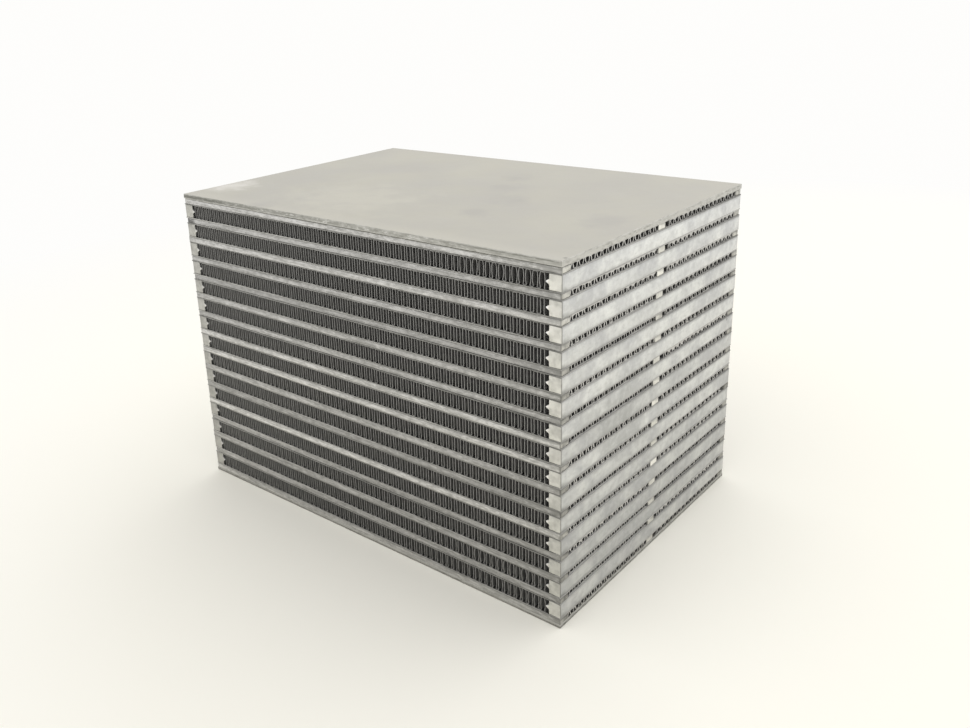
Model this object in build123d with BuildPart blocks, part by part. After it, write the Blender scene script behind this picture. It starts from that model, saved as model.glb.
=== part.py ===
from build123d import *
import os
from math import atan2, cos

# Brazed bar-and-plate core of a liquid-cooled intercooler, without its tanks.
#
# Millimetres, +Z up, origin at the centre of the underside.
# X runs along the length of the core and Y through its depth.
# Charge air crosses along Y, through tall passages closed at their ends by nosed bars.
# Coolant crosses along X, through low passages closed at the front and rear by flat bars.
# A third flat bar at mid depth splits each low passage into an outward and a return pass.

# Driving dimensions
core_length = 276.0
core_depth = 191.0
air_rows = 15
air_height = 8.0
coolant_height = 3.0
sheet_thickness = 0.6
top_plate_thickness = 3.0
bottom_plate_thickness = 2.0

# Bars
bar_width = 7.0
nose_length = 2.1
nose_height = 2.7

# Fins: a zigzag sheet, drawn with fewer and thicker folds than a rolled fin,
# so that the metal in each passage stays the same
air_fin_folds = 48
air_fin_thickness = 0.35
coolant_fin_folds = 16
coolant_fin_thickness = 0.21
fin_recess = 0.5
fin_end_gap = 0.2

# Worked out from the driving dimensions
coolant_rows = air_rows + 1
row_pitch = air_height + coolant_height + 2 * sheet_thickness
core_height = (
    bottom_plate_thickness
    + air_rows * row_pitch
    + coolant_height
    + top_plate_thickness
)
first_air_floor = bottom_plate_thickness + coolant_height + sheet_thickness
bank_width = (core_depth - 3 * bar_width) / 2
bank_centre = (bank_width + bar_width) / 2
flat_bar_centre = (core_depth - bar_width) / 2
air_fin_span = core_length - 2 * (bar_width + nose_length + fin_end_gap)
coolant_fin_span = bank_width - 2 * fin_end_gap


def save(part, name):
    """Label a finished piece and write it under its own name."""
    part.label = name
    export_step(part, f"parts/{name}.step")


def coolant_floor(row):
    """Height of the floor of a low passage, counted from the bottom."""
    return bottom_plate_thickness + row * row_pitch


def air_floor(row):
    """Height of the floor of a tall passage, counted from the bottom."""
    return first_air_floor + row * row_pitch


def zigzag(middle, floor, span, height, folds, thickness):
    """Outline of a folded fin: one zigzag line moved up and down by half its thickness."""
    step = span / folds
    lean = atan2(height, step)
    half_rise = thickness / 2 / cos(lean)
    valley, crest = floor + half_rise, floor + height - half_rise
    line = [(middle - span / 2 + i * step, crest if i % 2 else valley) for i in range(folds + 1)]
    upper = [(x, y + half_rise) for x, y in line]
    lower = [(x, y - half_rise) for x, y in reversed(line)]
    return upper + lower


def end_plate(name, floor, thickness):
    """Thick plate that closes the stack at the top or the bottom."""
    with BuildPart() as plate:
        with BuildSketch(Plane.XY.offset(floor)):
            Rectangle(core_length, core_depth)
        extrude(amount=thickness)
    save(plate.part, name)


def coolant_frame(name, row):
    """Low passage: three flat bars along X with the parting sheets brazed to them.

    The lowest and highest frames have one sheet each, because an end plate closes them.
    """
    has_lower_sheet = row > 0
    has_upper_sheet = row < coolant_rows - 1
    with BuildPart() as frame:
        with BuildSketch(Plane.YZ.offset(-core_length / 2)):
            with Locations((0, coolant_floor(row))):
                bars_at = [(-flat_bar_centre, 0), (0, 0), (flat_bar_centre, 0)]
                with Locations(*bars_at):
                    Rectangle(bar_width, coolant_height, align=(Align.CENTER, Align.MIN))
                if has_lower_sheet:
                    Rectangle(core_depth, sheet_thickness, align=(Align.CENTER, Align.MAX))
                if has_upper_sheet:
                    with Locations((0, coolant_height)):
                        Rectangle(core_depth, sheet_thickness, align=(Align.CENTER, Align.MIN))
        extrude(amount=core_length)
    save(frame.part, name)


def coolant_fin(name, row):
    """Folded fins of one low passage: a front bank and a rear bank, folds running along X."""
    fin_length = core_length - 2 * fin_recess
    with BuildPart() as banks:
        with BuildSketch(Plane.YZ.offset(-fin_length / 2)):
            for bank in (-bank_centre, bank_centre):
                outline = zigzag(
                    bank,
                    coolant_floor(row),
                    coolant_fin_span,
                    coolant_height,
                    coolant_fin_folds,
                    coolant_fin_thickness,
                )
                with BuildLine():
                    Polyline(*outline, close=True)
                make_face()
        extrude(amount=fin_length)
    save(banks.part, name)


def air_fin(name, row):
    """Folded fin of one tall passage, folds running along Y."""
    outline = zigzag(
        0, air_floor(row), air_fin_span, air_height, air_fin_folds, air_fin_thickness
    )
    fin_length = core_depth - 2 * fin_recess
    with BuildPart() as fin:
        with BuildSketch(Plane.XZ.offset(-fin_length / 2)):
            with BuildLine():
                Polyline(*outline, close=True)
            make_face()
        extrude(amount=fin_length)
    save(fin.part, name)


def air_bars(name, side):
    """Nosed bars that close one end of every tall passage, one separate bar a passage.

    side is -1 for the left end and 1 for the right end. The nose points inwards.
    """
    outer = side * core_length / 2
    inner = outer - side * bar_width
    tip = inner - side * nose_length
    with BuildPart() as bars:
        with BuildSketch(Plane.XZ.offset(-core_depth / 2)):
            for row in range(air_rows):
                floor = air_floor(row)
                middle = floor + air_height / 2
                with BuildLine():
                    Polyline(
                        (outer, floor),
                        (inner, floor),
                        (inner, middle - nose_height / 2),
                        (tip, middle),
                        (inner, middle + nose_height / 2),
                        (inner, floor + air_height),
                        (outer, floor + air_height),
                        close=True,
                    )
                make_face()
        extrude(amount=core_depth)
    save(bars.part, name)


os.makedirs("parts", exist_ok=True)

end_plate("bottom_plate", 0, bottom_plate_thickness)
end_plate("top_plate", core_height - top_plate_thickness, top_plate_thickness)

for row in range(coolant_rows):
    coolant_frame(f"coolant_frame_{row + 1:02d}", row)
    coolant_fin(f"coolant_fin_{row + 1:02d}", row)

for row in range(air_rows):
    air_fin(f"air_fin_{row + 1:02d}", row)

air_bars("air_bars_left", -1)
air_bars("air_bars_right", 1)
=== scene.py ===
"""The looks of a brazed bar-and-plate intercooler core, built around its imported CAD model.

Each real piece is a mesh of its own: two end plates, thirty parting sheets, the flat and
nosed bars, and the fins with their true number of folds. The frame's boxes place them all.
Lengths are metres. The front is the face at -Y, and rows are numbered from the bottom.
"""

import math

import bpy
import numpy as np
from mathutils import Matrix, Vector


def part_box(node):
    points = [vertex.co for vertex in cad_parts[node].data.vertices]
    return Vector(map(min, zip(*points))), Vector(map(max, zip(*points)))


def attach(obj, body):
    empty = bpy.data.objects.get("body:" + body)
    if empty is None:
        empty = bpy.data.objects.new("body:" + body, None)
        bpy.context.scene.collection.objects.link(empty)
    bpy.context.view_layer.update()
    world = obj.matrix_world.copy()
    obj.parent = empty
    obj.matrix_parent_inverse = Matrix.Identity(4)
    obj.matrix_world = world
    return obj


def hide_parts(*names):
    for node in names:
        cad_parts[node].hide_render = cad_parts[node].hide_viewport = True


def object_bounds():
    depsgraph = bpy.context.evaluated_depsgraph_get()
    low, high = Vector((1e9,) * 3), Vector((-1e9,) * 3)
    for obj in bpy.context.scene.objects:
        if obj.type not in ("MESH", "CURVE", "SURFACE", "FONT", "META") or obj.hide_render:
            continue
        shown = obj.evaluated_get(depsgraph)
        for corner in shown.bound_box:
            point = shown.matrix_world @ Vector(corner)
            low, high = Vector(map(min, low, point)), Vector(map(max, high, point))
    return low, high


MM = 0.001
LEFT, RIGHT = -1, 1
FRONT, REAR = -1, 1

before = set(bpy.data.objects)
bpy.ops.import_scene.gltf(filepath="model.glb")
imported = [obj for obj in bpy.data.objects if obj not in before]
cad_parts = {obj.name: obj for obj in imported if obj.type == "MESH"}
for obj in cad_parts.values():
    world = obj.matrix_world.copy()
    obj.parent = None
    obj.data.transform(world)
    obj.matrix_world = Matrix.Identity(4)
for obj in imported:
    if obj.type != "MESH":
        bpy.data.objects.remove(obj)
cad_low, cad_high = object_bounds()

# ------------------------------------------------------------------ sizes

bar_width = 7.0 * MM
nose_length = 2.1 * MM
nose_height = 2.7 * MM
air_wall_gap = 1.9 * MM
air_fin_thickness = 0.24 * MM
air_fin_radius = 0.5 * MM
coolant_wall_gap = 2.56 * MM
coolant_fin_radius = 0.55 * MM
coolant_crest_thickness = 0.28 * MM
rear_bank_lean = 0.15 * MM
braze_depth = 1.5 * MM
braze_overhang = 0.1 * MM
bar_shortfall = 0.4 * MM
sheet_bevel = 0.1 * MM
plate_bevel = 0.25 * MM

# How much narrower the fins are than their openings, and a coolant fin's gap to its bar.
air_fin_play = 0.8 * MM
coolant_fin_play = 2.4 * MM
coolant_fin_gap = 0.5 * MM

half_length = cad_high.x
half_depth = cad_high.y
air_nodes = sorted(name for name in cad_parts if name.startswith("air_fin_"))
coolant_nodes = sorted(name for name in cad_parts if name.startswith("coolant_fin_"))
air_rows = [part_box(name) for name in air_nodes]
coolant_rows = [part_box(name) for name in coolant_nodes]
row_pitch = air_rows[1][0].z - air_rows[0][0].z
air_height = air_rows[0][1].z - air_rows[0][0].z

SIDE_WORDS = {LEFT: "left", RIGHT: "right"}
BANK_WORDS = {FRONT: "front", REAR: "rear"}

# Style of each coolant fin's open ends, from the top row down.
FRONT_ROWS = """
    tall blobs blobs beads line beads line line
    open beads line beads blobs line line tall
""".split()
REAR_ROWS = """
    tall blobs fine tall line open blobs open
    open open beads beads line line fine tall
""".split()
BANK_ROWS = {FRONT: FRONT_ROWS, REAR: REAR_ROWS}

# For each style: wall thickness, lean of the walls, how far the fin is set back, whether the
# braze at its mouths stands at the foot or hangs from the head, and how thick that braze is
# in the wide folds and in the narrow ones.
BANK_STYLES = {
    "tall": (0.60 * MM, 0.25 * MM, 0.15 * MM, "head", 0.20 * MM, 0.9 * MM),
    "open": (0.75 * MM, 0.30 * MM, 0.30 * MM, "foot", 0.05 * MM, 0.9 * MM),
    "blobs": (0.75 * MM, 0.20 * MM, 0.20 * MM, "head", 0.55 * MM, 1.9 * MM),
    "beads": (0.75 * MM, 0.25 * MM, 0.50 * MM, "foot", 0.25 * MM, 1.6 * MM),
    "fine": (0.90 * MM, 0.30 * MM, 0.25 * MM, "head", 0.35 * MM, 1.5 * MM),
    "line": (0.60 * MM, 0.10 * MM, 0.80 * MM, "foot", 0.50 * MM, 0.9 * MM),
}

# For each bank: how far its walls are moved to make the folds wide and narrow by turns, and
# the shares of their style's narrow braze and set-back that its fins have.
BANK_HABITS = {FRONT: (0.32 * MM, 0.60, 0.85), REAR: (0.38 * MM, 0.85, 0.5)}

# Air rows whose walls are pinched by handling, and where along X the pinching starts.
PINCHED_ROWS = {14: 50 * MM, 1: 20 * MM, 0: 35 * MM}

# Flat bars paler or duller than the rest, by row.
PALE_BANDS = (15, 13, 8, 7, 4)
DULL_BANDS = (11, 5, 3, 2, 1)

# Dark smudges on the top plate: X, Y and radius.
PLATE_SMUDGES = (
    (0.048, -0.041, 0.012),
    (0.048, -0.010, 0.016),
    (0.027, 0.019, 0.014),
    (0.013, 0.046, 0.014),
    (0.117, -0.024, 0.016),
    (-0.070, -0.090, 0.012),
)

# Light from all round: a level, more from the front left and above, and more along Y.
ROOM_LEVEL = 0.50
ROOM_TILT = (-0.15, -0.15, 0.45)
ROOM_ALONG_Y = 0.75
BACKDROP = (0.99, 0.985, 0.97, 1)

rng = np.random.default_rng(4)


def drift(count, reach, knots):
    """Smooth seeded wandering between -reach and reach, at count evenly spaced places."""
    values = rng.uniform(-reach, reach, knots)
    return np.interp(np.linspace(0, knots - 1, count), np.arange(knots), values)


# ------------------------------------------------------------------ node helpers


def feed(tree, socket, value):
    """Link a node's output to a socket, or set the socket to a plain value."""
    if isinstance(value, bpy.types.NodeSocket):
        tree.links.new(value, socket)
    else:
        socket.default_value = value


def math_node(tree, operation, a, b):
    node = tree.nodes.new("ShaderNodeMath")
    node.operation = operation
    feed(tree, node.inputs[0], a)
    feed(tree, node.inputs[1], b)
    return node.outputs[0]


class Shader:
    """A Principled material with short calls for the nodes used here."""

    def __init__(self, name, roughness, metallic=1.0):
        self.material = bpy.data.materials.new(name)
        self.material.use_nodes = True
        self.tree = self.material.node_tree
        self.surface = self.tree.nodes["Principled BSDF"]
        self.surface.inputs["Metallic"].default_value = metallic
        self.surface.inputs["Roughness"].default_value = roughness
        texture_space = self.add("ShaderNodeTexCoord")
        self.place = texture_space.outputs["Object"]
        self.facing = texture_space.outputs["Normal"]

    def add(self, kind, **settings):
        node = self.tree.nodes.new(kind)
        for key, value in settings.items():
            setattr(node, key, value)
        return node

    def put(self, socket, value):
        feed(self.tree, socket, value)

    def stretch(self, scale, place=None):
        """Coordinates multiplied by a scale for each axis."""
        node = self.add("ShaderNodeVectorMath", operation="MULTIPLY")
        self.put(node.inputs[0], place or self.place)
        node.inputs[1].default_value = scale
        return node.outputs[0]

    def own_place(self):
        """Coordinates shifted by the piece's own tone, so that like pieces differ."""
        shift = self.add("ShaderNodeVectorMath", operation="SCALE")
        shift.inputs[0].default_value = (1, 3, 5)
        self.put(shift.inputs["Scale"], self.attribute("tone"))
        moved = self.add("ShaderNodeVectorMath", operation="ADD")
        self.put(moved.inputs[0], self.place)
        self.put(moved.inputs[1], shift.outputs[0])
        return moved.outputs[0]

    def noise(self, scale, detail=3.0, roughness=0.55, place=None, distortion=0.0):
        """Noise from about 0 to 1. A scale of 100 has features about a centimetre wide."""
        node = self.add("ShaderNodeTexNoise")
        self.put(node.inputs["Vector"], place or self.place)
        node.inputs["Scale"].default_value = scale
        node.inputs["Detail"].default_value = detail
        node.inputs["Roughness"].default_value = roughness
        node.inputs["Distortion"].default_value = distortion
        return node.outputs["Fac"]

    def remap(self, value, from_low, from_high, to_low, to_high):
        node = self.add("ShaderNodeMapRange")
        self.put(node.inputs["Value"], value)
        node.inputs["From Min"].default_value = from_low
        node.inputs["From Max"].default_value = from_high
        self.put(node.inputs["To Min"], to_low)
        self.put(node.inputs["To Max"], to_high)
        return node.outputs["Result"]

    def math(self, operation, a, b=0.0):
        return math_node(self.tree, operation, a, b)

    def mix(self, factor, a, b, blend="MIX"):
        node = self.add("ShaderNodeMix", data_type="RGBA", blend_type=blend)
        self.put(node.inputs["Factor"], factor)
        self.put(node.inputs["A"], a)
        self.put(node.inputs["B"], b)
        return node.outputs["Result"]

    def scaled(self, colour, amount):
        """Colour multiplied by a value or by another colour."""
        return self.mix(1.0, colour, amount, "MULTIPLY")

    def attribute(self, name):
        return self.add("ShaderNodeAttribute", attribute_name=name).outputs["Fac"]

    def axis(self, letter, place=None):
        node = self.add("ShaderNodeSeparateXYZ")
        self.put(node.inputs[0], place or self.place)
        return node.outputs[letter]

    def bump(self, height, strength, distance, normal=None):
        node = self.add("ShaderNodeBump")
        self.put(node.inputs["Height"], height)
        node.inputs["Strength"].default_value = strength
        node.inputs["Distance"].default_value = distance
        if normal is not None:
            self.put(node.inputs["Normal"], normal)
        return node.outputs["Normal"]

    def mottle(self, colour, scale, amount, dark, pale):
        """Small drawn-out spots, darker and paler than the colour under them."""
        spots = self.noise(1, 3, 0.65, self.stretch(scale))
        colour = self.mix(self.remap(spots, 0.34, 0.49, amount, 0), colour, dark)
        return self.mix(self.remap(spots, 0.51, 0.66, 0, amount), colour, pale)

    def patch(self, colour, centre, radius, amount, toward):
        """A soft ragged stain round centre, mixed by up to amount toward another colour."""
        node = self.add("ShaderNodeVectorMath", operation="DISTANCE")
        self.put(node.inputs[0], self.place)
        node.inputs[1].default_value = centre
        ragged = self.remap(self.noise(70, 3, 0.6), 0.3, 0.7, -0.4 * radius, 0.4 * radius)
        away = self.math("ADD", node.outputs["Value"], ragged)
        return self.mix(self.remap(away, 0.25 * radius, radius, amount, 0), colour, toward)

    def tone_and_seams(self, colour, low, high, rim):
        """Colour scaled by the piece's tone, which on nosed bars also holds painted shade low in
        the core, and darkened where its seams are marked.
        """
        tone = self.remap(self.attribute("tone"), 0, 1, low, high)
        colour = self.scaled(colour, tone)
        seam = self.remap(self.attribute("rim"), 0, 1, 1, rim)
        return self.scaled(colour, seam)

    def finish(self, colour, roughness=None, normal=None):
        """Feed the surface, and give the finished material."""
        self.put(self.surface.inputs["Base Color"], colour)
        if roughness is not None:
            self.put(self.surface.inputs["Roughness"], roughness)
        if normal is not None:
            self.put(self.surface.inputs["Normal"], normal)
        return self.material


def grey(value, warmth=0.0):
    """Linear grey of bare aluminium. Warmth takes blue out of it."""
    return (1.01 * value, value, value * (1 - warmth), 1)


# ------------------------------------------------------------------ materials


def plate_material():
    """Rolled plate with a satin etch: soft clouds, faint stains and fine marks."""
    s = Shader("plate", 0.5)
    top = cad_high.z
    clouds = s.noise(22, 3, 0.55)
    colour = s.mix(s.remap(clouds, 0.35, 0.68, 0, 1), grey(0.510, 0.085), grey(0.545, 0.115))
    near_front = s.remap(s.axis("Y"), -half_depth, -half_depth + 0.012, 0.5, 0)
    colour = s.mix(near_front, colour, grey(0.60, 0.10))
    colour = s.patch(colour, (-0.034, -0.053, top), 0.050, 0.7, grey(0.59, 0.12))
    colour = s.patch(colour, (-0.131, -0.065, top), 0.018, 0.9, grey(0.72, 0.05))
    for x, y, radius in PLATE_SMUDGES:
        colour = s.patch(colour, (x, y, top), radius, 0.8, grey(0.48, 0.07))
    colour = s.patch(colour, (0.1365, -0.0905, top), 0.0014, 0.8, grey(0.22, 0.05))
    grain = s.noise(1400, 2, 0.6)
    colour = s.mix(s.remap(grain, 0.3, 0.7, 0, 0.10), colour, grey(0.42, 0.08))
    rough = s.remap(s.noise(45, 4, 0.6), 0.3, 0.7, 0.46, 0.56)
    normal = s.bump(grain, 0.10, 0.05 * MM)
    normal = s.bump(s.noise(120, 3, 0.5), 0.12, 0.15 * MM, normal)
    colour = s.scaled(colour, (1.02, 1.0, 1.0, 1))
    return s.finish(colour, rough, normal)


def plate_edge_material():
    """Sawn edge of an end plate: flecked with braze, soiled at its left, scored at its right."""
    s = Shader("plate_edge", 0.5)
    x = s.axis("X")
    drop = s.math("SUBTRACT", cad_high.z, s.axis("Z"))
    runs = s.noise(1, 3, 0.6, s.stretch((30, 30, 300)), 0.4)
    colour = s.mix(s.remap(x, -0.10, 0.06, 0, 1), grey(0.27, 0.10), grey(0.43, 0.08))
    colour = s.mix(s.remap(runs, 0.4, 0.7, 0, 0.6), colour, grey(0.50, 0.07))
    flecks = s.noise(1, 3, 0.7, s.stretch((330, 330, 900)))
    middle = s.remap(s.math("ABSOLUTE", x), 0.06, 0.10, 0.9, 0.3)
    flecked = s.math("MULTIPLY", s.remap(flecks, 0.54, 0.66, 0, 1), middle)
    colour = s.mix(flecked, colour, grey(0.66, 0.05))
    from_soil = s.math("ABSOLUTE", s.math("SUBTRACT", drop, 1.5 * MM))
    soiled = s.remap(from_soil, 0.4 * MM, 1.1 * MM, 0.9, 0)
    soiled = s.math("MULTIPLY", soiled, s.remap(x, -0.110, -0.075, 1, 0))
    colour = s.mix(soiled, colour, s.mix(flecks, grey(0.15, 0.10), grey(0.30, 0.10)))
    from_line = s.math("ABSOLUTE", s.math("SUBTRACT", drop, 0.75 * MM))
    scored = s.remap(from_line, 0.15 * MM, 0.5 * MM, 0.9, 0)
    scored = s.math("MULTIPLY", scored, s.remap(x, 0.06, 0.10, 0, 1))
    colour = s.mix(scored, colour, grey(0.24, 0.10))
    arris = s.remap(drop, 0.2 * MM, 0.7 * MM, 0.6, 0)
    colour = s.mix(arris, colour, grey(0.56, 0.07))
    lower_arris = s.remap(drop, 2.1 * MM, 2.7 * MM, 0, 0.7)
    colour = s.mix(lower_arris, colour, grey(0.62, 0.06))
    ends = s.remap(s.math("ABSOLUTE", s.axis("X", s.facing)), 0.5, 0.9, 0, 0.9)
    colour = s.mix(ends, colour, s.mix(flecks, grey(0.50, 0.05), grey(0.68, 0.05)))
    colour = s.mottle(colour, (200, 200, 800), 0.5, grey(0.26, 0.12), grey(0.62, 0.06))
    # Painted shade: the bottom plate's edge darkens toward the floor, as a contact shadow.
    painted_floor_shade = s.remap(s.axis("Z"), 0, 2 * MM, 0.42, 0.82)
    painted_floor_shade = s.math("MAXIMUM", painted_floor_shade, s.remap(s.axis("Z"), 0.05, 0.06, 0, 1))
    colour = s.scaled(colour, painted_floor_shade)
    normal = s.bump(flecks, 0.4, 0.1 * MM)
    return s.finish(colour, s.remap(runs, 0.3, 0.7, 0.6, 0.45), normal)


def bar_material():
    """Long faces of a nosed bar: clouded by the brazing, with painted shade along head and foot.
    """
    s = Shader("bar", 0.5)
    clouds = s.noise(55, 3, 0.55, s.own_place(), 0.5)
    colour = s.mix(s.remap(clouds, 0.36, 0.64, 0, 1), grey(0.585, 0.01), grey(0.755, 0.035))
    marks = s.noise(1, 3, 0.6, s.stretch((900, 220, 700)))
    colour = s.mix(s.remap(marks, 0.52, 0.75, 0, 0.35), colour, grey(0.50, 0.03))
    # Painted shade along each bar's head and foot, where it meets the passages; the head's grows
    # toward the rear and the foot's toward the front.
    from_foot = s.math("SUBTRACT", s.axis("Z"), air_rows[0][0].z)
    from_foot = s.math("MODULO", from_foot, row_pitch)
    near_head = s.remap(from_foot, air_height - 1.7 * MM, air_height - 0.2 * MM, 0, 0.75)
    to_rear = s.remap(s.axis("Y"), -0.05, 0.03, 0.45, 1)
    near_foot = s.remap(from_foot, 0.1 * MM, 1.5 * MM, s.remap(to_rear, 0.45, 1, 0.62, 0), 0)
    colour = s.mix(s.math("MULTIPLY", near_head, to_rear), colour, grey(0.40, 0.04))
    colour = s.mix(near_foot, colour, grey(0.42, 0.04))
    corner = s.remap(s.axis("Y"), -half_depth + 3 * MM, -half_depth + 7 * MM, 1, 0)
    low_corner = s.math("MULTIPLY", s.remap(from_foot, 0.3 * MM, 2.6 * MM, 0.9, 0), corner)
    colour = s.mix(low_corner, colour, grey(0.36, 0.04))
    colour = s.patch(colour, (half_length, -0.044, 0.095), 0.034, 0.8, grey(0.50, 0.03))
    colour = s.patch(colour, (half_length, 0.0866, 0.110), 0.0017, 0.9, grey(0.15, 0.05))
    colour = s.mottle(colour, (260, 260, 300), 0.22, grey(0.42, 0.05), grey(0.86, 0.03))
    colour = s.tone_and_seams(colour, 0.74, 1.08, 0.6)
    colour = s.scaled(colour, (1.015, 1.033, 1.05, 1))
    rough = s.remap(s.noise(160, 3, 0.6), 0.3, 0.7, 0.45, 0.6)
    return s.finish(colour, rough, s.bump(marks, 0.2, 0.08 * MM))


def band_material():
    """Long faces of a flat bar: greyer, with lengthwise draw lines and darker stretches."""
    s = Shader("band", 0.45)
    lines = s.noise(1, 4, 0.65, s.stretch((25, 900, 1100)))
    blotch = s.noise(1, 4, 0.6, s.stretch((45, 200, 160)), 0.3)
    colour = s.mix(s.remap(blotch, 0.35, 0.68, 0, 1), grey(0.40, 0.03), grey(0.56, 0.02))
    colour = s.mix(s.remap(lines, 0.46, 0.66, 0, 0.65), colour, grey(0.29, 0.06))
    specks = s.noise(1300, 2, 0.6)
    colour = s.mix(s.remap(specks, 0.58, 0.75, 0, 0.5), colour, grey(0.75, 0.03))
    x = s.axis("X")
    # Painted shade under the top plate's overhang: the topmost flat bar darkens along its upper
    # edge, from the middle rightwards, widest near the right end.
    plate_shade_foot = s.remap(x, 0.07, 0.11, cad_high.z - 3.8 * MM, cad_high.z - 4.5 * MM)
    under_plate = s.remap(s.math("SUBTRACT", s.axis("Z"), plate_shade_foot), 0, 0.4 * MM, 0, 0.8)
    dark_seam_and_plate_shade = s.math("MULTIPLY", under_plate, s.remap(x, -0.08, 0.0, 0, 1))
    colour = s.mix(dark_seam_and_plate_shade, colour, grey(0.23, 0.10))
    colour = s.scaled(colour, s.remap(x, -0.12, 0.10, 1.09, 0.99))
    in_row = s.math("MODULO", s.math("SUBTRACT", s.axis("Z"), coolant_rows[0][0].z), row_pitch)
    upper = s.remap(in_row, 1.4 * MM, 2.8 * MM, 0, s.remap(x, 0.10, 0.125, 0.25, 0.6))
    colour = s.mix(upper, colour, grey(0.24, 0.07))
    near_corner = s.remap(x, half_length - 12 * MM, half_length - 3 * MM, 0, 0.35)
    colour = s.mix(near_corner, colour, grey(0.26, 0.09))
    colour = s.patch(colour, (-0.136, -half_depth, 0.1743), 0.0075, 0.9, grey(0.15, 0.03))
    colour = s.patch(colour, (0.122, -half_depth, 0.1865), 0.020, 0.7, grey(0.30, 0.05))
    colour = s.mottle(colour, (240, 600, 700), 0.5, grey(0.26, 0.06), grey(0.66, 0.03))
    colour = s.tone_and_seams(colour, 0.80, 1.30, 0.5)
    return s.finish(colour, s.remap(lines, 0.3, 0.7, 0.42, 0.58), s.bump(lines, 0.35, 0.1 * MM))


def cut_material(name, dull, pale, low_rows=1.0):
    """Sawn end of a bar: rough, with a painted highlight on the nose, and greyer on the left.

    low_rows scales the colour low in the core, as painted shade.
    """
    s = Shader(name, 0.6)
    x = s.axis("X")
    saw = s.noise(1, 3, 0.6, s.stretch((500, 500, 1800)))
    cast = s.noise(90, 2, 0.5)
    rosy = (pale, 0.985 * pale, 0.93 * pale, 1)
    tinted = s.mix(s.remap(cast, 0.35, 0.65, 0, 1), grey(pale, 0.07), rosy)
    film = s.noise(280, 2, 0.5)
    colour = s.mix(s.remap(film, 0.4, 0.7, 0, 1), tinted, grey(dull, 0.07))
    colour = s.mix(s.remap(saw, 0.5, 0.75, 0, 0.3), colour, grey(0.5 * (dull + pale), 0.05))
    inner = half_length - bar_width
    # Painted highlight on the nose's tip.
    nose_highlight = s.remap(s.math("ABSOLUTE", x), inner, inner - 1 * MM, 0, 0.8)
    colour = s.mix(nose_highlight, colour, grey(0.95, 0.03))
    colour = s.scaled(colour, s.remap(x, -0.1, 0.1, 0.84, 1.08))
    # Painted shade: darker low in the core by low_rows.
    colour = s.scaled(colour, s.remap(s.axis("Z"), 0.10, 0.16, low_rows, 1))
    colour = s.tone_and_seams(colour, 0.80, 1.14, 0.5)
    return s.finish(colour, 0.6, s.bump(saw, 0.3, 0.08 * MM))


def edge_material():
    """Sheared edge of a parting sheet, with braze metal run along it.

    At the core's left and right, sheets under a flat bar darken toward the rear, and those
    over one grow paler.
    """
    s = Shader("edge", 0.5)
    runs = s.noise(1, 4, 0.65, s.stretch((60, 60, 700)), 0.5)
    colour = s.mix(s.remap(runs, 0.35, 0.65, 0, 1), grey(0.34, 0.07), grey(0.54, 0.05))
    colour = s.tone_and_seams(colour, 0.5, 1.05, 1.0)
    x, y = s.axis("X"), s.axis("Y")
    colour = s.scaled(colour, s.remap(x, -0.12, 0.05, 1.2, 1))
    colour = s.mix(s.remap(x, 0.105, 0.13, 0, 0.5), colour, grey(0.20, 0.06))
    cut = s.mix(runs, grey(0.38, 0.03), grey(0.58, 0.03))
    under = s.remap(y, -0.05, 0.05, 1.05, 0.6)
    over = s.remap(y, -0.05, 0.05, 0.9, 1.2)
    cut = s.scaled(cut, s.remap(s.attribute("tone"), 0.2, 0.75, under, over))
    near_front = s.remap(y, -half_depth + 7 * MM, -half_depth + 3 * MM, 0, 0.5)
    cut = s.mix(near_front, cut, grey(0.25, 0.03))
    ends = s.remap(s.math("ABSOLUTE", s.axis("X", s.facing)), 0.5, 0.9, 0, 1)
    colour = s.mix(ends, colour, cut)
    rough = s.remap(runs, 0.3, 0.7, 0.6, 0.45)
    return s.finish(colour, rough, s.bump(runs, 0.4, 0.1 * MM))


def inside_material():
    """Broad face of a parting sheet, painted dark for the shade inside the core, and white with
    flux where it shows as a ledge at the ends.
    """
    s = Shader("inside", 0.5)
    # Painted shade: the sheet's broad face is dark where it lies inside the core.
    colour = s.mix(s.noise(200, 3), grey(0.20, 0.03), grey(0.30, 0.03))
    out = s.math("ABSOLUTE", s.axis("X"))
    ledge = s.remap(out, half_length - 4 * MM, half_length - 2.5 * MM, 0, 1)
    flux = s.mix(s.noise(300, 3), grey(0.42, 0.03), grey(0.56, 0.03))
    flux = s.scaled(flux, s.remap(s.axis("Y"), -0.02, 0.04, 1, 0.6))
    colour = s.mix(ledge, colour, flux)
    s.put(s.surface.inputs["Metallic"], s.remap(ledge, 0, 1, 1, 0.3))
    normal = s.bump(s.noise(500, 2), 0.2, 0.05 * MM)
    return s.finish(colour, s.remap(s.noise(300, 2), 0.3, 0.7, 0.4, 0.6), normal)


def fin_material(name, dark, pale):
    """Rolled foil of a fin, painted dark for the shade inside the passages."""
    s = Shader(name, 0.6, metallic=0.7)
    film = s.noise(350, 3, 0.6)
    colour = s.mix(s.remap(film, 0.3, 0.7, 0, 1), grey(dark, 0.03), grey(pale, 0.03))
    x = s.axis("X")
    ends = s.math("MAXIMUM", s.remap(x, -0.12, 0, 1.35, 1), s.remap(x, 0.05, 0.12, 1, 1.15))
    colour = s.scaled(colour, ends)
    normal = s.bump(s.noise(900, 2), 0.15, 0.04 * MM)
    return s.finish(colour, s.remap(film, 0.3, 0.7, 0.5, 0.65), normal)


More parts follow.
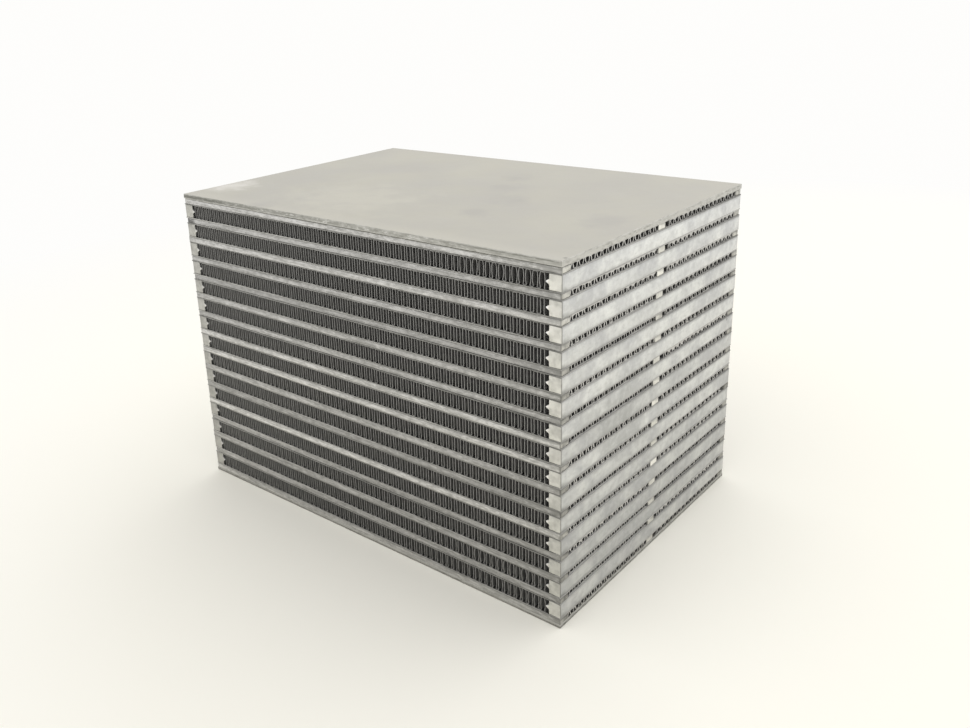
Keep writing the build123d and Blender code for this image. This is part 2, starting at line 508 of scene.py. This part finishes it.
def fin_edge_material(name, dark, pale, rear=1.0):
    """Cut edge of the foil. rear scales its colour on the rear half."""
    s = Shader(name, 0.5)
    nick = s.noise(1600, 2, 0.6)
    colour = s.mix(s.remap(nick, 0.3, 0.7, 0, 1), grey(dark, 0.03), grey(pale, 0.03))
    colour = s.scaled(colour, s.remap(s.axis("X"), -0.12, 0.02, 0.88, 1))
    colour = s.scaled(colour, s.remap(s.axis("Y"), -0.02, 0.04, 1, rear))
    return s.finish(colour, s.remap(nick, 0.3, 0.7, 0.45, 0.6), s.bump(nick, 0.3, 0.05 * MM))


PLATE = plate_material()
PLATE_EDGE = plate_edge_material()
BAR = bar_material()
BAND = band_material()
NOSED_CUT = cut_material("nosed_cut", 0.55, 0.71)
FLAT_CUT = cut_material("flat_cut", 0.32, 0.62, 0.72)
MIDDLE_CUT = cut_material("middle_cut", 0.60, 0.76)
EDGE = edge_material()
INSIDE = inside_material()
# Fin walls take dark colours as painted shade inside the passages.
AIR_FIN = (fin_material("air_fin", 0.21, 0.28), fin_edge_material("air_fin_edge", 0.38, 0.50))
COOLANT_FIN = (
    fin_material("coolant_fin", 0.08, 0.12),
    fin_edge_material("coolant_fin_edge", 0.52, 0.68, 0.90),
)


# ------------------------------------------------------------------ mesh helpers


def make_piece(name, points, faces, materials, skin, node, marks=None, crease=40):
    """One piece of the object, which stands for a CAD node.

    skin gives each face's place in materials. marks holds point values by attribute name.
    """
    mesh = bpy.data.meshes.new(name)
    mesh.from_pydata(np.asarray(points).tolist(), [], faces)
    for material in materials:
        mesh.materials.append(material)
    mesh.polygons.foreach_set("material_index", np.asarray(skin, dtype=np.int32))
    mesh.shade_smooth()
    mesh.set_sharp_from_angle(angle=math.radians(crease))
    for attribute, values in (marks or {}).items():
        layer = mesh.attributes.new(attribute, "FLOAT", "POINT")
        layer.data.foreach_set("value", np.asarray(values, dtype=np.float32))
    mesh.update()
    piece = bpy.data.objects.new(name, mesh)
    bpy.context.scene.collection.objects.link(piece)
    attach(piece, "root")
    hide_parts(node)
    return piece


def rounded(corners, steps=3):
    """Closed outline through corners (x, y, radius), each rounded by an arc."""
    outline = []
    count = len(corners)
    for i in range(count):
        corner = Vector(corners[i][:2])
        radius = corners[i][2]
        before = (Vector(corners[i - 1][:2]) - corner).normalized()
        after = (Vector(corners[(i + 1) % count][:2]) - corner).normalized()
        half = before.angle(after) / 2
        reach = radius / math.tan(half)
        start, end = corner + before * reach, corner + after * reach
        centre = corner + (before + after).normalized() * radius / math.sin(half)
        for k in range(steps + 1):
            chord = start.lerp(end, k / steps)
            outline.append(centre + (chord - centre).normalized() * radius)
    return np.array([tuple(p) for p in outline])


def ring_faces(rings, size):
    """Quads between successive closed rings of points."""
    quads = []
    for r in range(rings - 1):
        base = r * size
        for i in range(size):
            j = (i + 1) % size
            quads.append((base + i, base + j, base + size + j, base + size + i))
    return quads


def end_rounding(start, end, radius, inner=24):
    """Places along a run and how far each is drawn in, so that both ends are rounded over."""
    angles = np.radians([0, 30, 60, 90])
    into = np.append(radius * (1 - np.cos(angles)), radius + 0.5 * MM)
    drawn = np.append(radius * (1 - np.sin(angles)), 0)
    middle = np.linspace(start + into[-1], end - into[-1], inner)[1:-1]
    runs = np.concatenate([start + into, middle, end - into[::-1]])
    shrink = np.concatenate([drawn, np.zeros(len(middle)), drawn[::-1]])
    return runs, shrink


ROUNDED_RINGS = [1, 2, 3, -4, -3, -2]
CAP_RINGS = 3


# ------------------------------------------------------------------ bars


def bar(name, outline, runs, shrink, wander, axes, materials, node, tone, rim):
    """A bar swept along its runs. axes puts (run, first, second) in X, Y and Z.

    shrink and wander give how far each ring is drawn in and moved aside. materials are (long
    faces, ends). rim marks the dark seams: one value for each ring and outline point.
    """
    low, high = outline.min(0), outline.max(0)
    middle, half = (low + high) / 2, (high - low) / 2
    rings = []
    for place, inset, move in zip(runs, shrink, wander):
        ring = middle + (outline - middle) * (half - inset) / half
        rings.append(np.column_stack([np.full(len(ring), place), ring[:, 0] + move, ring[:, 1]]))
    points = np.concatenate(rings)[:, np.argsort(axes)]
    size, count = len(outline), len(rings)
    faces = ring_faces(count, size)
    skin = np.zeros(len(faces), int)
    skin[: CAP_RINGS * size] = 1
    skin[-CAP_RINGS * size :] = 1
    faces.append(tuple(range(size))[::-1])
    faces.append(tuple(range((count - 1) * size, count * size)))
    skin = np.concatenate([skin, [1, 1]])
    if np.linalg.det(np.eye(3)[:, np.argsort(axes)]) < 0:
        faces = [face[::-1] for face in faces]
    marks = {"tone": np.full(len(points), tone), "rim": rim.ravel()}
    return make_piece(name, points, faces, materials, skin, node, marks)


def nosed_outline(row, side, outer):
    """Cross-section of a nosed bar in X and Z, from its outer face to its pointed nose."""
    low, high = air_rows[row]
    inner = side * (half_length - bar_width)
    tip = inner - side * nose_length
    middle = (low.z + high.z) / 2
    arris, nose_root = 0.3 * MM, 0.6 * MM
    corners = [
        (outer, low.z, 0.15 * MM),
        (inner, low.z, arris),
        (inner, middle - nose_height / 2, nose_root),
        (tip, middle, arris),
        (inner, middle + nose_height / 2, nose_root),
        (inner, high.z, arris),
        (outer, high.z, 0.4 * MM),
    ]
    return rounded(corners[::-1] if side == LEFT else corners)


def nosed_bar(row, side):
    """Bar that closes one end of a tall passage, its nose pointing inwards."""
    outer = side * (half_length - rng.uniform(0.05, 0.4) * MM)
    outline = nosed_outline(row, side, outer)
    start = -half_depth + rng.uniform(0.1, 0.4) * MM
    end = half_depth - rng.uniform(0.0, 0.5) * MM
    runs, shrink = end_rounding(start, end, 0.35 * MM)
    outward = np.abs(outline[:, 0]) > abs(outer) - 0.5 * MM
    rim = np.zeros((len(runs), len(outline)))
    near_head = outline[:, 1] > air_rows[row][1].z - 0.3 * MM
    rim[:, outward & near_head] = 0.3
    rim[np.ix_(ROUNDED_RINGS, outward)] = 1.0
    wander = drift(len(runs), 0.04 * MM, 7)
    # Tone rises with height, as painted shade that darkens the lower rows; it is also a little
    # paler on the right and varies at random.
    height = row / (len(air_rows) - 1)
    tone = 0.15 + 0.6 * height + 0.08 * side + rng.uniform(-0.2, 0.2)
    word = SIDE_WORDS[side]
    bar(
        f"nosed_bar_{row + 1:02d}_{word}",
        outline,
        runs,
        shrink,
        wander,
        (1, 0, 2),
        [BAR, NOSED_CUT],
        f"air_bars_{word}",
        np.clip(tone, 0, 1),
        rim,
    )


def flat_bar(row, place):
    """Bar along X in a low passage: at the front, at mid depth or at the rear."""
    low, high = coolant_rows[row]
    side = {"front": FRONT, "middle": 0, "rear": REAR}[place]
    if side:
        centre = side * (half_depth - bar_width / 2 - rng.uniform(0.06, 0.5) * MM)
    else:
        centre = rng.uniform(-2.3, -1.2) * MM
    reach = bar_width / 2
    radius = rng.uniform(0.3, 0.6) * MM
    foot_radius = 0.15 * MM
    corners = [
        (centre - reach, low.z, foot_radius),
        (centre + reach, low.z, foot_radius),
        (centre + reach, high.z, radius),
        (centre - reach, high.z, radius),
    ]
    outline = rounded(corners)
    start = -half_length + rng.uniform(0, bar_shortfall)
    end = half_length - rng.uniform(0, bar_shortfall)
    runs, shrink = end_rounding(start, end, 0.45 * MM if side else 0.3 * MM)
    seam = high.z - outline[:, 1] < 0.6 * radius
    dark_seam_and_plate_shade = np.clip(0.4 + drift(len(runs), 0.4, 10) + rng.uniform(-0.3, 0.3), 0, 1)
    rim = dark_seam_and_plate_shade[:, None] * seam
    rim[ROUNDED_RINGS] = 0.7 if side else 0.3
    tone = rng.uniform(0.3, 0.5) + 0.45 * (row in PALE_BANDS) - 0.25 * (row in DULL_BANDS)
    bar(
        f"flat_bar_{row + 1:02d}_{place}",
        outline,
        runs,
        shrink,
        drift(len(runs), 0.05 * MM, 12),
        (0, 1, 2),
        [BAND, FLAT_CUT if side else MIDDLE_CUT],
        f"coolant_frame_{row + 1:02d}",
        tone,
        rim,
    )


# ------------------------------------------------------------------ plates and sheets


def slab(name, floor, ceiling, bevel, inset, wobble, step, materials, node, tone=0.5):
    """Plate or sheet with a slightly uneven cut edge.

    inset draws it in from the core's sides, wobble is how uneven its edge is, and step how
    far apart the edge's points are. materials are (broad face, edge).
    """
    hx, hy = half_length - inset, half_depth - inset
    nx, ny = int(2 * hx / step), int(2 * hy / step)
    sides = [
        np.column_stack([np.linspace(-hx, hx, nx, False), np.full(nx, -hy)]),
        np.column_stack([np.full(ny, hx), np.linspace(-hy, hy, ny, False)]),
        np.column_stack([np.linspace(hx, -hx, nx, False), np.full(nx, hy)]),
        np.column_stack([np.full(ny, -hx), np.linspace(hy, -hy, ny, False)]),
    ]
    outline = np.concatenate(sides)
    size = len(outline)
    inward = np.sign(outline) * (np.abs(outline) > [hx - 1e-9, hy - 1e-9])
    rough = np.abs(drift(size, wobble, size // 3)) + rng.uniform(0, wobble / 2, size)
    levels = [(floor, bevel), (floor + bevel, 0), (ceiling - bevel, 0), (ceiling, bevel)]
    rings = []
    for level, pull in levels:
        moved = outline - inward * (pull + rough[:, None])
        rings.append(np.column_stack([moved, np.full(size, level)]))
    faces = ring_faces(len(levels), size)
    skin = [1] * len(faces) + [0, 0]
    faces.append(tuple(range(size))[::-1])
    faces.append(tuple(range((len(levels) - 1) * size, len(levels) * size)))
    points = np.concatenate(rings)
    marks = {"tone": np.full(len(points), tone)}
    return make_piece(name, points, faces, materials, skin, node, marks)


def end_plates():
    for node, name in (("top_plate", "plate_top"), ("bottom_plate", "plate_bottom")):
        low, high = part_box(node)
        slab(
            name,
            low.z,
            high.z,
            plate_bevel,
            0.0,
            0.06 * MM,
            2 * MM,
            [PLATE, PLATE_EDGE],
            node,
        )


def parting_sheets():
    """Two sheets to each air row. Those under a flat bar are darker at the front."""
    number = 0
    for row, (low, high) in enumerate(air_rows):
        below = coolant_rows[row][1].z
        above = coolant_rows[row + 1][0].z
        for floor, ceiling, frame_row in ((below, low.z, row), (high.z, above, row + 1)):
            number += 1
            tone = 0.75 if frame_row == row else 0.2
            slab(
                f"sheet_{number:02d}",
                floor,
                ceiling,
                sheet_bevel,
                rng.uniform(0, 0.1) * MM,
                0.08 * MM,
                2.4 * MM,
                [INSIDE, EDGE],
                f"coolant_frame_{frame_row + 1:02d}",
                tone + rng.uniform(-0.15, 0.15),
            )


# ------------------------------------------------------------------ fins


def wave(walls_low, walls_high, floor, ceiling, radius, bow, bend_points):
    """Line of a folded strip: walls joined by flat crests with rounded corners.

    walls_low and walls_high are each wall's places at its foot and at its head.
    """
    line = []
    corner = radius * (1 - math.sqrt(0.5))
    for i in range(len(walls_low)):
        rising = i % 2 == 0
        foot = [
            (walls_low[i] - radius, floor),
            (walls_low[i] - corner, floor + corner),
            (walls_low[i], floor + radius),
        ]
        if not rising:
            foot = [(2 * walls_low[i] - x, z) for x, z in foot]
        head = [
            (walls_high[i], ceiling - radius),
            (walls_high[i] + corner, ceiling - corner),
            (walls_high[i] + radius, ceiling),
        ]
        if not rising:
            head = [(2 * walls_high[i] - x, z) for x, z in head]
        middle = []
        for k in range(1, bend_points + 1):
            share = k / (bend_points + 1)
            x = walls_low[i] + (walls_high[i] - walls_low[i]) * share
            z = floor + radius + (ceiling - floor - 2 * radius) * share
            middle.append((x + bow[i] * math.sin(math.pi * share), z))
        rise = foot + middle + head
        line.extend(rise if rising else rise[::-1])
    return np.array(line)


def ribbon(line, thickness, start, end):
    """Solid strip: a line given a thickness at each of its points and swept in depth.

    Gives its points, its faces and each face's material: 0 for walls and 1 for cut edges.
    """
    step = np.gradient(line, axis=0)
    step /= np.linalg.norm(step, axis=1)[:, None]
    across = np.column_stack([-step[:, 1], step[:, 0]]) * thickness[:, None] / 2
    count = len(line)
    points = []
    for depth in (start, end):
        for side in (line + across, line - across):
            points.append(np.column_stack([side[:, 0], np.full(count, depth), side[:, 1]]))
    index = np.arange(count - 1)
    a, b, c, d = index, index + count, index + 2 * count, index + 3 * count
    walls = [(a, a + 1, c + 1, c), (b + 1, b, d, d + 1)]
    ends = [(a + 1, a, b, b + 1), (c, c + 1, d + 1, d)]
    first_tip = [0, 2 * count, 3 * count, count]
    last_tip = [count - 1, 2 * count - 1, 4 * count - 1, 3 * count - 1]
    tips = [first_tip, last_tip]
    wall_faces = np.concatenate([np.column_stack(quad) for quad in walls])
    end_faces = np.concatenate([np.column_stack(quad) for quad in ends])
    faces = np.concatenate([wall_faces, tips, end_faces])
    skin = [0] * (len(wall_faces) + len(tips)) + [1] * len(end_faces)
    return np.concatenate(points), faces, skin


def folded_fin(name, strips, along_x, materials, node):
    """One fin made of ribbons that are brazed together, swept along X or along Y."""
    first = np.cumsum([0] + [len(points) for points, faces, skin in strips])
    points = np.concatenate([points for points, faces, skin in strips])
    faces = np.concatenate([faces + first[i] for i, (_, faces, _) in enumerate(strips)])
    skin = np.concatenate([skin for points, faces, skin in strips])
    if along_x:
        points, faces = points[:, [1, 0, 2]], faces[:, ::-1]
    return make_piece(name, points, faces.tolist(), materials, skin, node, crease=60)


def air_fin(row):
    """Folded fin of a tall passage, with some walls pinched where it was handled."""
    low, high = air_rows[row]
    count = int((high.x - low.x - air_fin_play) / air_wall_gap) + 1
    places = (np.arange(count) - (count - 1) / 2) * air_wall_gap
    turn = np.where(np.arange(count) % 2, 1, -1)
    places = places + turn * rng.uniform(0.05, 0.14) * MM + drift(count, 0.08 * MM, count // 4)
    lean = turn * rng.uniform(0, 0.08) * MM + rng.uniform(-0.04, 0.04, count) * MM
    bow = rng.uniform(-0.05, 0.05, count) * MM
    if row in PINCHED_ROWS:
        start = PINCHED_ROWS[row]
        amount = np.clip((places - start) / (0.5 * (half_length - start)), 0, 1)
        bow = bow + amount * turn * rng.uniform(0.2, 0.55, count) * MM
    line = wave(
        places - lean,
        places + lean,
        low.z + air_fin_thickness / 2,
        high.z - air_fin_thickness / 2,
        air_fin_radius,
        bow,
        3 if row in PINCHED_ROWS else 1,
    )
    strip = ribbon(line, np.full(len(line), air_fin_thickness), low.y, high.y)
    folded_fin(f"folded_air_fin_{row + 1:02d}", [strip], False, AIR_FIN, air_nodes[row])


def braze_run(row, places, seat, wide, narrow, start, end):
    """Braze metal at one mouth of a coolant fin, which is heaped up in its narrow folds.

    places are the walls'. The metal stands at the fin's foot or hangs from its head.
    """
    low, high = coolant_rows[row]
    middles = (places[:-1] + places[1:]) / 2
    is_narrow = np.arange(len(middles)) % 2 == 0
    thickness = np.where(is_narrow, narrow, wide) * rng.uniform(0.5, 1.4, len(middles))
    level = low.z + thickness / 2 if seat == "foot" else high.z - thickness / 2
    return ribbon(np.column_stack([middles, level]), thickness, start, end)


def coolant_fin(row, bank):
    """Folded fin of one bank of a low passage, its walls leaning to and fro."""
    low, high = coolant_rows[row]
    style = BANK_ROWS[bank][-1 - row]
    thickness, lean, recess, seat, wide, narrow = BANK_STYLES[style]
    pairing, braze_share, recess_share = BANK_HABITS[bank]
    width = (2 * half_depth - 3 * bar_width) / 2 - coolant_fin_play
    count = int(width / coolant_wall_gap) + 1
    centre = bank * (half_depth - bar_width - width / 2 - coolant_fin_gap)
    places = centre + (np.arange(count) - (count - 1) / 2) * coolant_wall_gap
    places = places + drift(count, 0.15 * MM, count // 2)
    turn = np.where(np.arange(count) % 2, -1, 1)
    places = places + turn * rng.uniform(0.8, 1.2) * pairing
    tilt = lean * turn + rng.uniform(-0.12, 0.12, count) * MM - rear_bank_lean * (bank == REAR)
    crest = coolant_crest_thickness
    line = wave(
        places - tilt,
        places + tilt,
        low.z + crest / 2,
        high.z - crest / 2,
        coolant_fin_radius,
        np.zeros(count),
        1,
    )
    rise = [crest, (crest + thickness) / 2, thickness]
    profile = np.tile(rise + [thickness] + rise[::-1], count)
    profile = profile * (1 + drift(len(profile), 0.25, count))
    narrow *= braze_share
    recess *= recess_share
    start = low.x + recess * rng.uniform(0.7, 1.2)
    end = high.x - recess * rng.uniform(0.7, 1.2)
    strips = [
        ribbon(line, profile, start, end),
        braze_run(row, places, seat, wide, narrow, start - braze_overhang, start + braze_depth),
        braze_run(row, places, seat, wide, narrow, end - braze_depth, end + braze_overhang),
    ]
    name = f"folded_coolant_fin_{row + 1:02d}_{BANK_WORDS[bank]}"
    folded_fin(name, strips, True, COOLANT_FIN, coolant_nodes[row])


# ------------------------------------------------------------------ stage


def make_camera():
    """Camera solved from the photograph's corners. The image is taken as 970 x 728."""
    right = Vector((0.765342, 0.642539, -0.037350))
    down = Vector((0.177406, -0.266390, -0.947398))
    forward = Vector((-0.618691, 0.718458, -0.317872))
    data = bpy.data.cameras.new("camera")
    data.sensor_fit = "HORIZONTAL"
    data.sensor_width = 36.0
    data.lens = 34.443
    data.shift_x = 0.04747
    data.shift_y = -0.06532
    data.clip_start, data.clip_end = 0.01, 50
    camera = bpy.data.objects.new("camera", data)
    axes = Matrix((right, -down, -forward)).transposed()
    camera.matrix_world = Matrix.Translation((0.34911, -0.42344, 0.30471)) @ axes.to_4x4()
    bpy.context.scene.collection.objects.link(camera)
    bpy.context.scene.camera = camera


def seen_directly(tree):
    """1 for camera, glossy and transmission rays, which see the white backdrop."""
    path = tree.nodes.new("ShaderNodeLightPath")
    total = path.outputs["Is Camera Ray"]
    for kind in ("Is Glossy Ray", "Is Transmission Ray"):
        total = math_node(tree, "MAXIMUM", total, path.outputs[kind])
    return total


def make_world():
    """Pale room that lights the object from all round, and that is white where seen directly."""
    world = bpy.data.worlds.new("world")
    bpy.context.scene.world = world
    world.use_nodes = True
    tree = world.node_tree
    tree.nodes.clear()
    direction = tree.nodes.new("ShaderNodeTexCoord").outputs["Generated"]
    tilt = tree.nodes.new("ShaderNodeVectorMath")
    tilt.operation = "DOT_PRODUCT"
    tilt.inputs[1].default_value = ROOM_TILT
    tree.links.new(direction, tilt.inputs[0])
    parts = tree.nodes.new("ShaderNodeSeparateXYZ")
    tree.links.new(direction, parts.inputs[0])
    y_squared = math_node(tree, "MULTIPLY", parts.outputs["Y"], parts.outputs["Y"])
    along_y = math_node(tree, "MULTIPLY", y_squared, ROOM_ALONG_Y)
    room = math_node(tree, "ADD", tilt.outputs["Value"], ROOM_LEVEL)
    room = math_node(tree, "ADD", room, along_y)
    level = tree.nodes.new("ShaderNodeMix")
    tree.links.new(seen_directly(tree), level.inputs["Factor"])
    tree.links.new(room, level.inputs["A"])
    level.inputs["B"].default_value = 1.0
    background = tree.nodes.new("ShaderNodeBackground")
    background.inputs["Color"].default_value = BACKDROP
    tree.links.new(level.outputs["Result"], background.inputs["Strength"])
    output = tree.nodes.new("ShaderNodeOutputWorld")
    tree.links.new(background.outputs[0], output.inputs["Surface"])


def area_light(name, place, target, size, power):
    """Square soft light that faces its target."""
    data = bpy.data.lights.new(name, "AREA")
    data.shape = "SQUARE"
    data.size = size
    data.energy = power
    light = bpy.data.objects.new(name, data)
    light.location = place
    light.rotation_euler = (Vector(target) - Vector(place)).to_track_quat("-Z", "Y").to_euler()
    bpy.context.scene.collection.objects.link(light)


def make_floor():
    """Pale table top that runs out into the white backdrop without a line."""
    mesh = bpy.data.meshes.new("floor")
    reach = 6.0
    mesh.from_pydata(
        [(-reach, -reach, 0), (reach, -reach, 0), (reach, reach, 0), (-reach, reach, 0)],
        [],
        [(0, 1, 2, 3)],
    )
    floor = bpy.data.objects.new("floor", mesh)
    bpy.context.scene.collection.objects.link(floor)
    s = Shader("floor", 0.8, metallic=0.0)
    speck = s.noise(3, 3)
    colour = s.mix(speck, (0.935, 0.915, 0.84, 1), (0.95, 0.93, 0.86, 1))
    s.finish(colour, s.remap(speck, 0.3, 0.7, 0.75, 0.85))
    distance = s.add("ShaderNodeVectorMath", operation="DISTANCE")
    s.put(distance.inputs[0], s.place)
    distance.inputs[1].default_value = (0.15, 0.15, 0)
    away = s.remap(distance.outputs["Value"], 0.42, 0.95, 0, 1)
    backdrop = s.add("ShaderNodeEmission")
    backdrop.inputs["Color"].default_value = BACKDROP
    blend = s.add("ShaderNodeMixShader")
    s.put(blend.inputs[0], s.math("MULTIPLY", away, seen_directly(s.tree)))
    s.put(blend.inputs[1], s.surface.outputs[0])
    s.put(blend.inputs[2], backdrop.outputs[0])
    s.put(s.tree.nodes["Material Output"].inputs["Surface"], blend.outputs[0])
    mesh.materials.append(s.material)


# ------------------------------------------------------------------ assembly

make_camera()
end_plates()
parting_sheets()
for row in range(len(coolant_rows)):
    for place in ("front", "middle", "rear"):
        flat_bar(row, place)
    for bank in (FRONT, REAR):
        coolant_fin(row, bank)
for row in range(len(air_rows)):
    air_fin(row)
    for side in (LEFT, RIGHT):
        nosed_bar(row, side)

make_world()
area_light("overhead", (0.35, 0.5, 1.5), (0, 0, 0.1), 1.8, 6)
make_floor()

view = bpy.context.scene.view_settings
view.view_transform = "Standard"
